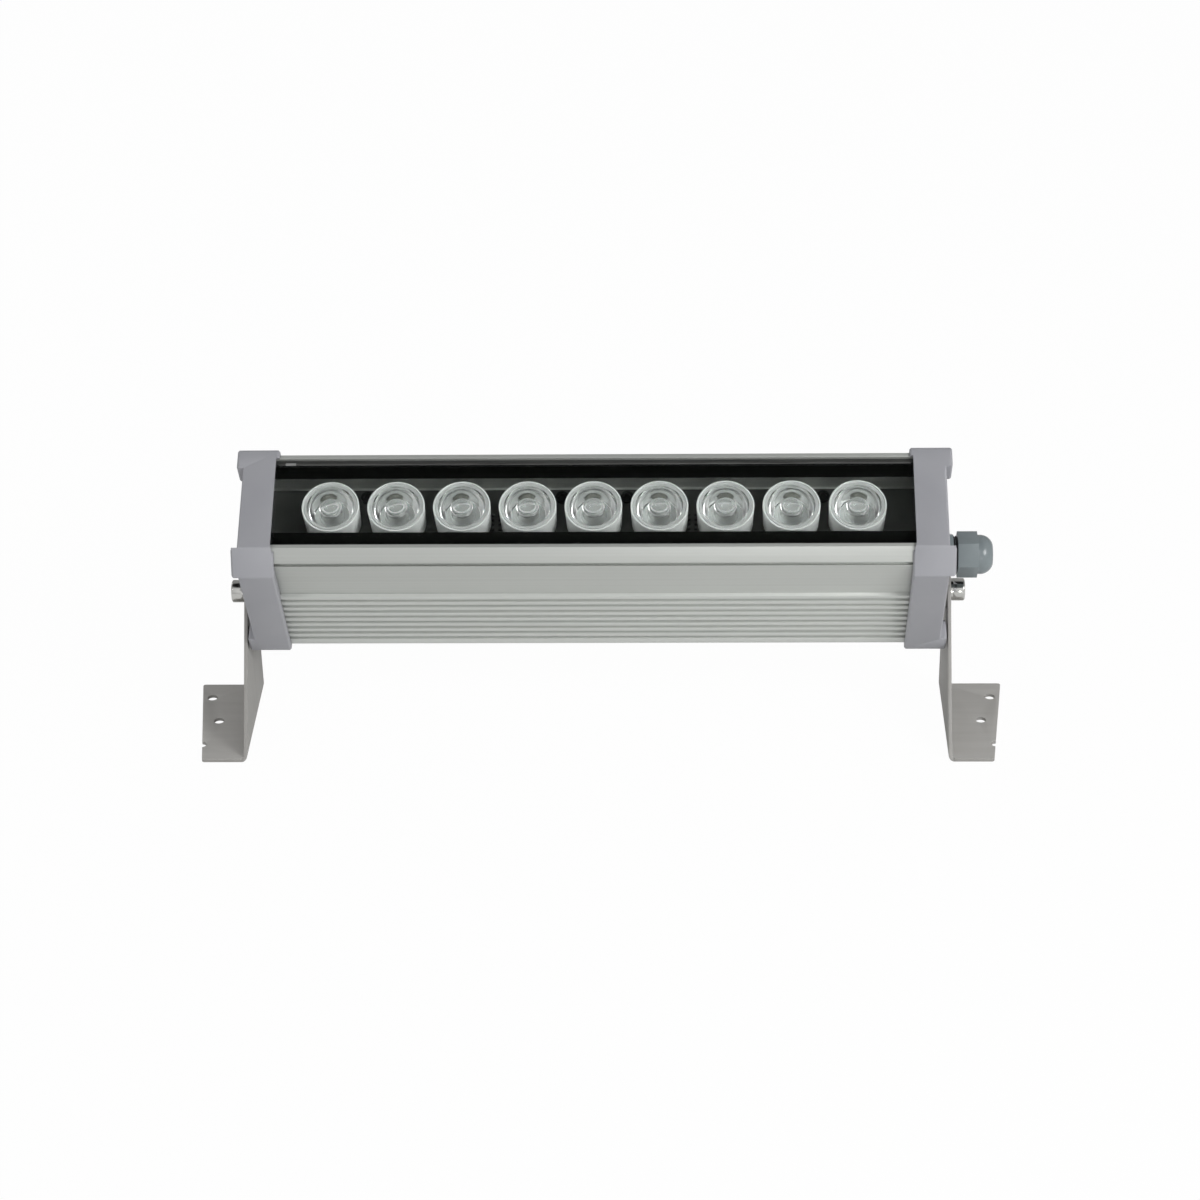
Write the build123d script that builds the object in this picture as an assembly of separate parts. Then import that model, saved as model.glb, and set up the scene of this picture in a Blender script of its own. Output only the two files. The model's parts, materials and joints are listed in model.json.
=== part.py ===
from build123d import *
import os

# Outdoor wall washer: a ribbed aluminium housing with nine lenses under glass, closed by two end
# caps and carried on two folded brackets that turn about one horizontal line.
# Sizes are in millimetres. The housing and what it holds are drawn in the housing's own frame:
# X along the housing, U across the window from its near edge to its far edge, and V down from
# the window. U is drawn as +Y and V as -Z. hang() then tilts that frame onto the brackets.

# ---- whole light ----
LENS_COUNT = 9
LENS_PITCH = 28.08
END_ROOM = 23.64             # from the end of the lens row's last pitch to a cap's outer wall
HALF_LENGTH = LENS_COUNT * LENS_PITCH / 2 + END_ROOM
TILT = 31.0                  # slope of the window at rest, in degrees

# ---- end caps ----
CAP_ACROSS = 58.5            # along U
CAP_DOWN = 75.0              # along V
CAP_LENGTH = 15.3
CAP_WALL = 4.0               # end wall of a cap
CAP_FACET = 9.5              # chamfer between the window side and the ribbed side
CAP_FACET_ROUND = 1.5
CAP_FAR_ROUND = 2.0
CAP_NEAR_ROUND = 1.5
CAP_EDGE_ROUND = 0.8         # round the outer wall
CAP_RIM_BEVEL = 0.7          # round the open rim
WINDOW_RELIEF = 1.4          # the rim is cut back this far over the glass
POCKET_CLEARANCE = 0.2       # between a cap's rim and the housing

# ---- corner pads and cap screws ----
PAD_PROUD = 2.8
PAD_RADIUS = 4.2
PAD_ROUND = 1.1
SCREW_RADIUS = 1.5
SCREW_HEAD_RADIUS = 2.75
SCREW_HEAD_DEPTH = 1.7
SCREW_REACH = 12.0           # into the housing
SCREW_CLEARANCE = 0.05
PORT_RADIUS = 2.8            # round a screw's hole, inside the housing
PORT_NEAR_TOP = (8.3, 10.3)
PORT_FAR_TOP = (53.0, 10.0)
PORT_NEAR_LOW = (6.9, 68.8)
PORT_FAR_LOW = (51.8, 68.8)

# ---- housing section ----
WINDOW_INSET = 1.5           # lips below the caps' window side
FAR_INSET = 2.5
RIB_INSET = 2.7              # rib crests behind the caps' ribbed side
LOW_INSET = 2.1
LIP_INSET = 1.5              # lip chamfer below the caps' chamfer, square to it
LIP_CHAMFER = 4.9            # along U
GROOVE_WIDTH = 0.9           # along U
GROOVE_DEPTH = 1.6           # along U
NEAR_LIP = 1.55
FAR_LIP = 2.0
RIB_COUNT = 9
RIB_START = 30.95            # along V
RIB_PITCH = 4.73
RIB_WIDTH = 2.35
RIB_DEPTH = 1.6
SIDE_WALL = 2.5
LOW_WALL = 2.2
SHELF_THICKNESS = 3.0
LEDGE_THICKNESS = 2.0
LEDGE_NEAR_WIDTH = 4.35
LEDGE_FAR_WIDTH = 4.2
GASKET_THICKNESS = 1.0
GASKET_INSET = 0.3

# ---- glass ----
GLASS_RECESS = 1.0
GLASS_THICKNESS = 4.0
GLASS_GAP = 0.5              # at the near lip
GLASS_FAR_GAP = 1.95
GLASS_ARRIS = 0.4            # bevel round the top of the glass
GLASS_END_GAP = 1.0
BEAD_RECESS = 0.4            # sealant below the top of the glass
PRINT_THICKNESS = 0.15
PRINT_NEAR = 7.4             # width of the black print on each long edge
PRINT_FAR = 5.85
SEAT_SEAL = 0.65             # sealant under the glass
SEAT_SEAL_END = 6.0

# ---- lenses ----
LENS_LINE = 33.4             # along U
LENS_DROP = 0.75             # crown of a lens below the print
HOLDER_TOP_RADIUS = 12.3
HOLDER_LOW_RADIUS = 11.9
HOLDER_WALL = 0.7            # beside the lens flange
HOLDER_LIP = 0.7             # ledge that carries the lens flange
HOLDER_HEIGHT = 14.3
HOLDER_FLOOR = 0.8
HOLDER_FLOOR_RADIUS = 3.2    # hole round the LED
LENS_CROWN = 0.7
LENS_FLANGE = 1.5
LENS_CLEARANCE = 0.3
LENS_FOOT_RADIUS = 5.2
LENS_FOOT_GAP = 1.4          # lens foot above the board
LENS_WELL_RADIUS = 3.6
LENS_WELL_DEPTH = 4.0
LED_SIDE = 3.5
LED_BASE = 1.0
LED_DOME_RADIUS = 1.5

# ---- light board ----
BOARD_MARGIN = 16.6          # past the lens row's last pitch, each end
BOARD_WIDTH = 33.0
BOARD_THICKNESS = 1.6
BOARD_SCREW_OFFSET = 12.2    # from the lens line
BOARD_SCREW_STEPS = (-3.5, -0.5, 0.5, 3.5)
SMALL_SCREW_RADIUS = 1.5
SMALL_HEAD_RADIUS = 2.7
SMALL_HEAD_HEIGHT = 1.6
BOARD_SCREW_DEPTH = 2.2      # into the shelf

# ---- driver ----
RAIL_HEIGHT = 3.0
RAIL_WIDTH = 8.0
RAIL_NEAR = 16.0             # along U
RAIL_FAR = 41.0
DRIVER_START = -95.0         # along X
DRIVER_LENGTH = 140.0
DRIVER_HEIGHT = 26.0
DRIVER_OVERHANG = 1.5        # past the rails, each side
DRIVER_WALL = 1.8
DRIVER_COVER = 1.6
DRIVER_EAR = 9.0
DRIVER_EAR_THICKNESS = 2.0
DRIVER_BOARD_LIFT = 6.0
DRIVER_BOARD_CLEARANCE = 0.3
DRIVER_SCREW_DEPTH = 3.5
DRIVER_POST = 6.0
DRIVER_POST_SHARES = (0.12, 0.5, 0.88)       # places along the driver
DRIVER_COMPONENTS = ((0.25, 20.0), (0.68, 24.0))  # place along the driver, size
TERMINAL_START = 78.0
TERMINAL_LENGTH = 22.0
TERMINAL_HEIGHT = 16.0
TERMINAL_WAYS = 3
TERMINAL_BORE = 1.8
TERMINAL_SCREW_WELL = 2.0
TERMINAL_WELL_DEPTH = 6.0

# ---- cable gland ----
GLAND_U = 26.0
GLAND_V = 36.3
GLAND_WASHER = 1.0
GLAND_COLLAR = 3.1
GLAND_GAP = 1.9              # bare thread between collar and dome nut
GLAND_THREAD_RADIUS = 7.6
GLAND_NECK_RADIUS = 6.0
GLAND_BORE_RADIUS = 4.6
GLAND_HEX = 17.4             # across flats
GLAND_HEX_TURN = 33.0        # degrees
GLAND_COLLAR_TURN = 3.0
GLAND_NUT_STRAIGHT = 8.7
GLAND_NUT_DOME = 6.5
GLAND_DOME_STRAIGHT = 1.2
GLAND_DOME_RADIUS = 8.5
GLAND_DOME_MIDDLE = (5.0, 7.05)   # along X from the dome's start, and out from the gland's line
GLAND_DOME_END = 4.9
GLAND_NUT_WALL = 2.0
GLAND_MOUTH_RADIUS = 4.2
GLAND_TAIL = 13.0            # thread behind the cap's outer wall
GLAND_LOCKNUT = 4.0
GLAND_LOCKNUT_HEX = 18.0
GLAND_INSERT_BORE = 3.0
GLAND_INSERT_LENGTH = 9.0
GLAND_CLEARANCE = 0.1

# ---- pivots ----
PIVOT_U = 25.0
PIVOT_V = 65.2
HUB_RADIUS = 8.5
HUB_PROUD = 2.4
HUB_INNER_RADIUS = 5.0
HUB_INNER_LENGTH = 8.0
FRICTION_WASHER = 1.0
FRICTION_WASHER_RADIUS = 8.0
RUNNING_GAP = 0.05           # beside and round whatever turns
BOLT_RADIUS = 3.0
BOLT_HEAD_RADIUS = 5.0
BOLT_HEAD_HEIGHT = 5.2
BOLT_HEAD_ROUND = 0.5
BOLT_SOCKET = 5.0            # across flats
BOLT_SOCKET_DEPTH = 3.0
BOLT_REACH = 10.0            # behind the cap's outer wall
SPRING_WASHER = 1.2
SPRING_WASHER_RADIUS = 4.95
SPRING_WASHER_SPLIT = 0.6

# ---- brackets ----
SHEET = 1.5
BEND_RADIUS = 1.0            # inside
PIVOT_HEIGHT = 59.4          # above the mounting face
PIVOT_SETBACK = 47.5         # behind the feet's front edge
ARM_HEAD_RADIUS = 8.8
FOOT_LENGTH = 62.85
ARM_BACK_HEIGHT = 22.0       # straight back edge of an arm
FOOT_FRONT_WIDTH = 19.85     # from the arm's inner face to the foot's outer edge, at its front
FOOT_BACK_WIDTH = 27.85      # the same at its back
FOOT_CORNER = 1.2
FOOT_HOLE_RADIUS = 2.25
FOOT_HOLE_BACK = (4.355, 51.5)    # in from the outer edge, and back from the front edge
FOOT_HOLE_MIDDLE = (7.46, 31.9)
FOOT_NOTCH = (-0.35, 12.2)

# ---- derived places ----
CAP_RIM = HALF_LENGTH - CAP_LENGTH
CAP_FLOOR = HALF_LENGTH - CAP_WALL
HOUSING_END = CAP_FLOOR - GASKET_THICKNESS
PAD_FACE = HALF_LENGTH + PAD_PROUD
HOUSING_FAR = CAP_ACROSS - FAR_INSET
HOUSING_LOW = CAP_DOWN - LOW_INSET
BAND = RIB_INSET + RIB_DEPTH
DIAGONAL = CAP_FACET + LIP_INSET * 2 ** 0.5
LIP_TURN = DIAGONAL - WINDOW_INSET
LIP_END = LIP_TURN - LIP_CHAMFER
CHANNEL_NEAR = LIP_TURN + NEAR_LIP
CHANNEL_FAR = HOUSING_FAR - FAR_LIP
GLASS_TOP = WINDOW_INSET + GLASS_RECESS
GLASS_LOW = GLASS_TOP + GLASS_THICKNESS
PRINT_LOW = GLASS_LOW + PRINT_THICKNESS
CHANNEL_LOW = PRINT_LOW + SEAT_SEAL
GLASS_NEAR = CHANNEL_NEAR + GLASS_GAP
GLASS_FAR = CHANNEL_FAR - GLASS_FAR_GAP
GLASS_END = HOUSING_END - GLASS_END_GAP
OPENING_NEAR = CHANNEL_NEAR + LEDGE_NEAR_WIDTH
OPENING_FAR = CHANNEL_FAR - LEDGE_FAR_WIDTH
ROOM_NEAR = BAND + SIDE_WALL
ROOM_FAR = HOUSING_FAR - RIB_DEPTH - SIDE_WALL
ROOM_TOP = CHANNEL_LOW + LEDGE_THICKNESS
CROWN = PRINT_LOW + LENS_DROP
HOLDER_TOP = CROWN + LENS_CROWN
BOARD_TOP = HOLDER_TOP + HOLDER_HEIGHT
SHELF_TOP = BOARD_TOP + BOARD_THICKNESS
SHELF_LOW = SHELF_TOP + SHELF_THICKNESS
ROOM_LOW = HOUSING_LOW - LOW_WALL
RAIL_TOP = ROOM_LOW - RAIL_HEIGHT
HUB_FACE = HALF_LENGTH + HUB_PROUD
ARM_INNER = HUB_FACE + FRICTION_WASHER + RUNNING_GAP
ARM_OUTER = ARM_INNER + SHEET
SPRING_INNER = ARM_OUTER + RUNNING_GAP
BOLT_SEAT = SPRING_INNER + SPRING_WASHER
BOLT_TOP = BOLT_SEAT + BOLT_HEAD_HEIGHT
GLAND_COLLAR_END = HALF_LENGTH + GLAND_WASHER + GLAND_COLLAR
GLAND_NUT_START = GLAND_COLLAR_END + GLAND_GAP
GLAND_NUT_TURN = GLAND_NUT_START + GLAND_NUT_STRAIGHT
GLAND_NUT_END = GLAND_NUT_TURN + GLAND_NUT_DOME


# ---- drawing helpers, in the housing's frame ----
def outline(points):
    """A face in (U, V) from corner points."""
    return make_face(Polyline(*[(u, -v) for u, v in points], close=True))


def oblong(u_range, v_range):
    corners = [(u_range[0], v_range[0]), (u_range[1], v_range[0])]
    corners += [(u_range[1], v_range[1]), (u_range[0], v_range[1])]
    return outline(corners)


def disc(place, radius):
    return Pos(place[0], -place[1]) * Circle(radius)


def hexagon(place, across_flats, turn=0.0):
    return Pos(place[0], -place[1]) * Rot(0, 0, turn) * RegularPolygon(across_flats / 2, 6, False)


def bar(face, start, end):
    """A (U, V) face drawn out along X."""
    return extrude(Plane.YZ.offset(start) * face, amount=end - start)


def block(x_range, u_range, v_range):
    return bar(oblong(u_range, v_range), x_range[0], x_range[1])


def turned_on_x(points, place):
    """A solid of revolution on a line along X, from (x, radius) points."""
    profile = make_face(Polyline(*points, close=True))
    return Pos(0, place[0], -place[1]) * revolve(profile, Axis.X)


def turned_on_v(profile, x, u):
    """A solid of revolution on a line square to the window, from a face in (radius, V)."""
    return Pos(x, u, 0) * revolve(Plane.XZ * profile, Axis.Z)


def other_side(shape):
    return mirror(shape, about=Plane.YZ)


# ---- end caps ----
def round_corner(face, place, radius):
    """Rounds the corner of a (U, V) face that lies nearest a place."""
    target = Vector(place[0], -place[1])
    corner = min(face.vertices(), key=lambda v: (Vector(v) - target).length)
    return fillet(corner, radius)


def cap_face():
    corners = {
        (CAP_FACET, 0): CAP_FACET_ROUND,
        (CAP_ACROSS, 0): CAP_FAR_ROUND,
        (CAP_ACROSS, CAP_DOWN): CAP_FAR_ROUND,
        (0, CAP_DOWN): CAP_NEAR_ROUND,
        (0, CAP_FACET): CAP_FACET_ROUND,
    }
    face = outline(list(corners))
    for place, radius in corners.items():
        face = round_corner(face, place, radius)
    return face


def housing_outline(grow):
    """The housing's outside without its ribs, grown by a clearance."""
    diagonal = DIAGONAL - grow * 2 ** 0.5
    window = WINDOW_INSET - grow
    return outline([
        (diagonal - window, window),
        (HOUSING_FAR + grow, window),
        (HOUSING_FAR + grow, HOUSING_LOW + grow),
        (RIB_INSET - grow, HOUSING_LOW + grow),
        (RIB_INSET - grow, RIB_START - grow),
        (BAND - grow, RIB_START - grow),
        (BAND - grow, diagonal - BAND + grow),
    ])


def pad_face(port):
    """A corner pad round a cap screw, out to the cap's own corner."""
    near = port[0] < CAP_ACROSS / 2
    top = port[1] < CAP_DOWN / 2
    if near and top:
        places = [(CAP_FACET, 0), (0, CAP_FACET)]
    else:
        side = 0 if near else CAP_ACROSS
        end = 0 if top else CAP_DOWN
        inward_u = PAD_RADIUS if near else -PAD_RADIUS
        inward_v = PAD_RADIUS if top else -PAD_RADIUS
        places = [(side, end), (port[0] + inward_u, end), (side, port[1] + inward_v)]
    edges = disc(port, PAD_RADIUS).edges()
    corner = [(u, -v) for u, v in places]
    edges += Polyline(*corner, close=len(corner) > 2).edges()
    return make_hull(edges) & cap_face()


def ports():
    return (PORT_NEAR_TOP, PORT_FAR_TOP, PORT_NEAR_LOW, PORT_FAR_LOW)


def cap_screw(port, grow=0.0):
    """A countersunk screw, or the hole for it when it is grown."""
    face = PAD_FACE + grow
    neck = PAD_FACE - SCREW_HEAD_DEPTH
    tip = HOUSING_END - SCREW_REACH - grow
    return turned_on_x([
        (face, 0),
        (face, SCREW_HEAD_RADIUS + grow),
        (neck, SCREW_RADIUS + grow),
        (tip, SCREW_RADIUS + grow),
        (tip, 0),
    ], port)


def cap_screws():
    recess = hexagon((0, 0), SCREW_RADIUS)
    screws = []
    for port in ports():
        socket = bar(Pos(port[0], -port[1]) * recess, PAD_FACE - SCREW_HEAD_DEPTH / 2, PAD_FACE)
        screws.append(cap_screw(port) - socket)
    return screws


def window_relief():
    """What the rim leaves free over the glass, running out across the near lip."""
    plan = make_face(Polyline(
        (CAP_RIM, LIP_END),
        (CAP_RIM, CHANNEL_FAR),
        (CAP_RIM + WINDOW_RELIEF, CHANNEL_FAR),
        (CAP_RIM + WINDOW_RELIEF, CHANNEL_NEAR),
        close=True,
    ))
    return extrude(plan, amount=-GLASS_TOP)


def end_cap():
    cap = bar(cap_face(), CAP_RIM, HALF_LENGTH)
    wall_edges = cap.faces().sort_by(Axis.X)[-1].edges()
    cap = fillet(wall_edges, CAP_EDGE_ROUND)
    rim_edges = cap.faces().sort_by(Axis.X)[0].edges()
    cap = chamfer(rim_edges, CAP_RIM_BEVEL)
    cap -= window_relief()
    cap -= bar(housing_outline(POCKET_CLEARANCE), CAP_RIM, CAP_FLOOR)
    for port in ports():
        pad = bar(pad_face(port), CAP_FLOOR, PAD_FACE)
        cap += fillet(pad.faces().sort_by(Axis.X)[-1].edges(), PAD_ROUND)
    pivot = (PIVOT_U, PIVOT_V)
    cap += bar(disc(pivot, HUB_RADIUS), CAP_FLOOR, HUB_FACE)
    cap += bar(disc(pivot, HUB_INNER_RADIUS), CAP_FLOOR - HUB_INNER_LENGTH, CAP_FLOOR)
    bolt_hole = disc(pivot, BOLT_RADIUS + RUNNING_GAP)
    cap -= bar(bolt_hole, HALF_LENGTH - BOLT_REACH - RUNNING_GAP, HUB_FACE)
    for port in ports():
        cap -= cap_screw(port, SCREW_CLEARANCE)
    return cap


def end_gasket():
    gasket = bar(housing_outline(-GASKET_INSET), HOUSING_END, CAP_FLOOR)
    for port in ports():
        gasket -= bar(disc(port, SCREW_RADIUS + GASKET_INSET), HOUSING_END, CAP_FLOOR)
    pivot = (PIVOT_U, PIVOT_V)
    return gasket - bar(disc(pivot, HUB_INNER_RADIUS + GASKET_INSET), HOUSING_END, CAP_FLOOR)


# ---- housing ----
def rib_places():
    return [RIB_START + RIB_PITCH * i for i in range(RIB_COUNT)]


def housing_face():
    face = housing_outline(0)
    lip_low = DIAGONAL - LIP_END
    face -= outline([
        (LIP_END + GROOVE_DEPTH, lip_low + GROOVE_DEPTH),
        (LIP_END + GROOVE_DEPTH - GROOVE_WIDTH, lip_low + GROOVE_DEPTH + GROOVE_WIDTH),
        (LIP_END - GROOVE_WIDTH - GROOVE_DEPTH, lip_low + GROOVE_WIDTH - GROOVE_DEPTH),
        (LIP_END - GROOVE_DEPTH, lip_low - GROOVE_DEPTH),
    ])
    for start in rib_places()[:-1]:
        gap = (start + RIB_WIDTH, start + RIB_PITCH)
        for side in ((RIB_INSET, BAND), (HOUSING_FAR - RIB_DEPTH, HOUSING_FAR)):
            face -= oblong(side, gap)
    for room in ((ROOM_TOP, SHELF_TOP), (SHELF_LOW, ROOM_LOW)):
        face -= oblong((ROOM_NEAR, ROOM_FAR), room)
    for port in ports():
        face += disc(port, PORT_RADIUS)
    for rail in (RAIL_NEAR, RAIL_FAR):
        side = (rail - RAIL_WIDTH / 2, rail + RAIL_WIDTH / 2)
        face += oblong(side, (RAIL_TOP, ROOM_LOW))
    face -= oblong((CHANNEL_NEAR, CHANNEL_FAR), (0, CHANNEL_LOW))
    face -= oblong((OPENING_NEAR, OPENING_FAR), (0, ROOM_TOP))
    for port in ports():
        face -= disc(port, SCREW_RADIUS + SCREW_CLEARANCE)
    return face


def housing_extrusion():
    return bar(housing_face(), -HOUSING_END, HOUSING_END) - board_screw_holes() - rail_screw_holes()


# ---- glass, its print and its sealant ----
def cover_glass():
    glass = block((-GLASS_END, GLASS_END), (GLASS_NEAR, GLASS_FAR), (GLASS_TOP, GLASS_LOW))
    top_edges = glass.faces().sort_by(Axis.Z)[-1].edges()
    return chamfer(top_edges, GLASS_ARRIS)


def glass_border():
    near = (GLASS_NEAR, GLASS_NEAR + PRINT_NEAR)
    far = (GLASS_FAR - PRINT_FAR, GLASS_FAR)
    return [block((-GLASS_END, GLASS_END), strip, (GLASS_LOW, PRINT_LOW)) for strip in (near, far)]


def glass_seal():
    channel = (CHANNEL_NEAR, CHANNEL_FAR)
    seal = block((-HOUSING_END, HOUSING_END), channel, (GLASS_TOP + BEAD_RECESS, CHANNEL_LOW))
    seal -= block((-GLASS_END, GLASS_END), (GLASS_NEAR, GLASS_FAR), (GLASS_TOP, PRINT_LOW))
    window_end = GLASS_END - SEAT_SEAL_END
    return seal - block((-window_end, window_end), (OPENING_NEAR, OPENING_FAR), (GLASS_TOP, CHANNEL_LOW))


# ---- lenses, holders and light board ----
def lens_places():
    middle = (LENS_COUNT - 1) / 2
    return [LENS_PITCH * (i - middle) for i in range(LENS_COUNT)]


FLANGE_RADIUS = HOLDER_TOP_RADIUS - HOLDER_WALL - LENS_CLEARANCE
FLANGE_TOP = HOLDER_TOP
FLANGE_LOW = FLANGE_TOP + LENS_FLANGE
LENS_FOOT = BOARD_TOP - LENS_FOOT_GAP


def lens(x):
    """A clear collimator: a low crown, a flange, and a tapered body with a well for its LED."""
    body_radius = FLANGE_RADIUS - HOLDER_LIP - LENS_CLEARANCE
    well_top = LENS_FOOT - LENS_WELL_DEPTH
    section = make_face(Polyline(
        (0, -CROWN),
        (0, -well_top),
        (LENS_WELL_RADIUS, -well_top),
        (LENS_WELL_RADIUS, -LENS_FOOT),
        (LENS_FOOT_RADIUS, -LENS_FOOT),
        (body_radius, -FLANGE_LOW),
        (FLANGE_RADIUS, -FLANGE_LOW),
        (FLANGE_RADIUS, -CROWN),
        close=True,
    ))
    crown_radius = (FLANGE_RADIUS ** 2 + LENS_CROWN ** 2) / (2 * LENS_CROWN)
    crown = Pos(x, LENS_LINE, -CROWN - crown_radius) * Sphere(crown_radius)
    return turned_on_v(section, x, LENS_LINE) & crown


def lens_holder(x):
    """A tapered cup with a ledge under the lens flange and a floor round the LED."""
    flange_bore = HOLDER_TOP_RADIUS - HOLDER_WALL
    ledge_bore = flange_bore - HOLDER_LIP
    foot_bore = HOLDER_LOW_RADIUS - HOLDER_WALL
    section = make_face(Polyline(
        (HOLDER_TOP_RADIUS, -HOLDER_TOP),
        (HOLDER_LOW_RADIUS, -BOARD_TOP),
        (HOLDER_FLOOR_RADIUS, -BOARD_TOP),
        (HOLDER_FLOOR_RADIUS, -BOARD_TOP + HOLDER_FLOOR),
        (foot_bore, -BOARD_TOP + HOLDER_FLOOR),
        (ledge_bore, -FLANGE_LOW - HOLDER_LIP),
        (ledge_bore, -FLANGE_LOW),
        (flange_bore, -FLANGE_LOW),
        (flange_bore, -HOLDER_TOP),
        close=True,
    ))
    return turned_on_v(section, x, LENS_LINE)


def led(x):
    half = LED_SIDE / 2
    base_top = BOARD_TOP - LED_BASE
    base = block((x - half, x + half), (LENS_LINE - half, LENS_LINE + half), (base_top, BOARD_TOP))
    dome = Pos(x, LENS_LINE, -base_top) * Sphere(LED_DOME_RADIUS)
    below = block((x - half, x + half), (LENS_LINE - half, LENS_LINE + half), (base_top, base_top + half))
    return base + (dome - below)


def board_screw_places():
    places = []
    for step in BOARD_SCREW_STEPS:
        for side in (-BOARD_SCREW_OFFSET, BOARD_SCREW_OFFSET):
            places.append((LENS_PITCH * step, LENS_LINE + side))
    return places


def upright(place, radius, v_range):
    """A cylinder square to the window, at (X, U)."""
    height = v_range[1] - v_range[0]
    middle = (v_range[0] + v_range[1]) / 2
    return Pos(place[0], place[1], -middle) * Cylinder(radius, height)


def small_screw(place, seat, depth):
    """A pan head screw square to the window, with its head on a seat."""
    head = upright(place, SMALL_HEAD_RADIUS, (seat - SMALL_HEAD_HEIGHT, seat))
    recess = upright(place, SMALL_SCREW_RADIUS, (seat - SMALL_HEAD_HEIGHT, seat - SMALL_HEAD_HEIGHT / 2))
    return head - recess + upright(place, SMALL_SCREW_RADIUS, (seat, seat + depth))


def small_screw_hole(place, seat, depth):
    return upright(place, SMALL_SCREW_RADIUS + SCREW_CLEARANCE, (seat, seat + depth + SCREW_CLEARANCE))


BOARD_SCREW_LENGTH = BOARD_THICKNESS + BOARD_SCREW_DEPTH


def board_screws():
    return [small_screw(place, BOARD_TOP, BOARD_SCREW_LENGTH) for place in board_screw_places()]


def board_screw_holes():
    return [small_screw_hole(place, BOARD_TOP, BOARD_SCREW_LENGTH) for place in board_screw_places()]


def led_board():
    half = LENS_COUNT * LENS_PITCH / 2 + BOARD_MARGIN
    side = (LENS_LINE - BOARD_WIDTH / 2, LENS_LINE + BOARD_WIDTH / 2)
    return block((-half, half), side, (BOARD_TOP, SHELF_TOP)) - board_screw_holes()


# ---- driver on its rails ----
DRIVER_END = DRIVER_START + DRIVER_LENGTH
DRIVER_NEAR = RAIL_NEAR - RAIL_WIDTH / 2 - DRIVER_OVERHANG
DRIVER_FAR = RAIL_FAR + RAIL_WIDTH / 2 + DRIVER_OVERHANG
DRIVER_TOP = RAIL_TOP - DRIVER_HEIGHT
EAR_TOP = RAIL_TOP - DRIVER_EAR_THICKNESS


def rail_screw_places():
    ends = (DRIVER_START - DRIVER_EAR / 2, DRIVER_END + DRIVER_EAR / 2)
    return [(x, u) for x in ends for u in (RAIL_NEAR, RAIL_FAR)]


DRIVER_SCREW_LENGTH = DRIVER_EAR_THICKNESS + DRIVER_SCREW_DEPTH


def driver_screws():
    return [small_screw(place, EAR_TOP, DRIVER_SCREW_LENGTH) for place in rail_screw_places()]


def rail_screw_holes():
    return [small_screw_hole(place, EAR_TOP, DRIVER_SCREW_LENGTH) for place in rail_screw_places()]


def driver_case():
    outside = block((DRIVER_START, DRIVER_END), (DRIVER_NEAR, DRIVER_FAR), (DRIVER_TOP, RAIL_TOP))
    ear_ends = (DRIVER_START - DRIVER_EAR, DRIVER_END + DRIVER_EAR)
    ears = block(ear_ends, (DRIVER_NEAR, DRIVER_FAR), (EAR_TOP, RAIL_TOP))
    inside = block(
        (DRIVER_START + DRIVER_WALL, DRIVER_END - DRIVER_WALL),
        (DRIVER_NEAR + DRIVER_WALL, DRIVER_FAR - DRIVER_WALL),
        (DRIVER_TOP, RAIL_TOP - DRIVER_WALL),
    )
    return outside + ears - inside - rail_screw_holes()


def driver_cover():
    top = DRIVER_TOP - DRIVER_COVER
    return block((DRIVER_START, DRIVER_END), (DRIVER_NEAR, DRIVER_FAR), (top, DRIVER_TOP))


def driver_board():
    edge = DRIVER_WALL + DRIVER_BOARD_CLEARANCE
    low = RAIL_TOP - DRIVER_WALL
    board_low = low - DRIVER_BOARD_LIFT
    x_range = (DRIVER_START + edge, DRIVER_END - edge)
    u_range = (DRIVER_NEAR + edge, DRIVER_FAR - edge)
    board = block(x_range, u_range, (board_low - BOARD_THICKNESS, board_low))
    middle_u = (DRIVER_NEAR + DRIVER_FAR) / 2
    for share in DRIVER_POST_SHARES:
        x = DRIVER_START + DRIVER_LENGTH * share
        half = DRIVER_POST / 2
        board += block((x - half, x + half), (middle_u - half, middle_u + half), (board_low, low))
    for share, size in DRIVER_COMPONENTS:
        x = DRIVER_START + DRIVER_LENGTH * share
        top = board_low - BOARD_THICKNESS
        u_side = (middle_u - size / 2, middle_u + size / 2)
        board += block((x - size / 2, x + size / 2), u_side, (top - size / 2, top))
    return board


def terminal_block():
    near = RAIL_NEAR - RAIL_WIDTH / 2
    far = RAIL_FAR + RAIL_WIDTH / 2
    top = RAIL_TOP - TERMINAL_HEIGHT
    x_range = (TERMINAL_START, TERMINAL_START + TERMINAL_LENGTH)
    terminal = block(x_range, (near, far), (top, RAIL_TOP))
    for i in range(TERMINAL_WAYS):
        u = near + (far - near) * (i + 1) / (TERMINAL_WAYS + 1)
        bore = disc((u, RAIL_TOP - TERMINAL_HEIGHT / 2), TERMINAL_BORE)
        terminal -= bar(bore, x_range[0], x_range[1])
        x = TERMINAL_START + TERMINAL_LENGTH / 2
        well = Pos(x, u, -top - TERMINAL_WELL_DEPTH / 2) * Cylinder(TERMINAL_SCREW_WELL, TERMINAL_WELL_DEPTH)
        terminal -= well
    return terminal


# ---- cable gland on the right cap ----
GLAND = (GLAND_U, GLAND_V)
GLAND_TAIL_END = HALF_LENGTH - GLAND_TAIL
GLAND_WASHER_FACE = HALF_LENGTH + GLAND_WASHER
GLAND_INSERT_END = GLAND_NUT_END - GLAND_NUT_WALL
GLAND_SEAT = GLAND_INSERT_END - GLAND_INSERT_LENGTH


def gland_hole(start, end):
    return bar(disc(GLAND, GLAND_THREAD_RADIUS + GLAND_CLEARANCE), start, end)


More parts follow.
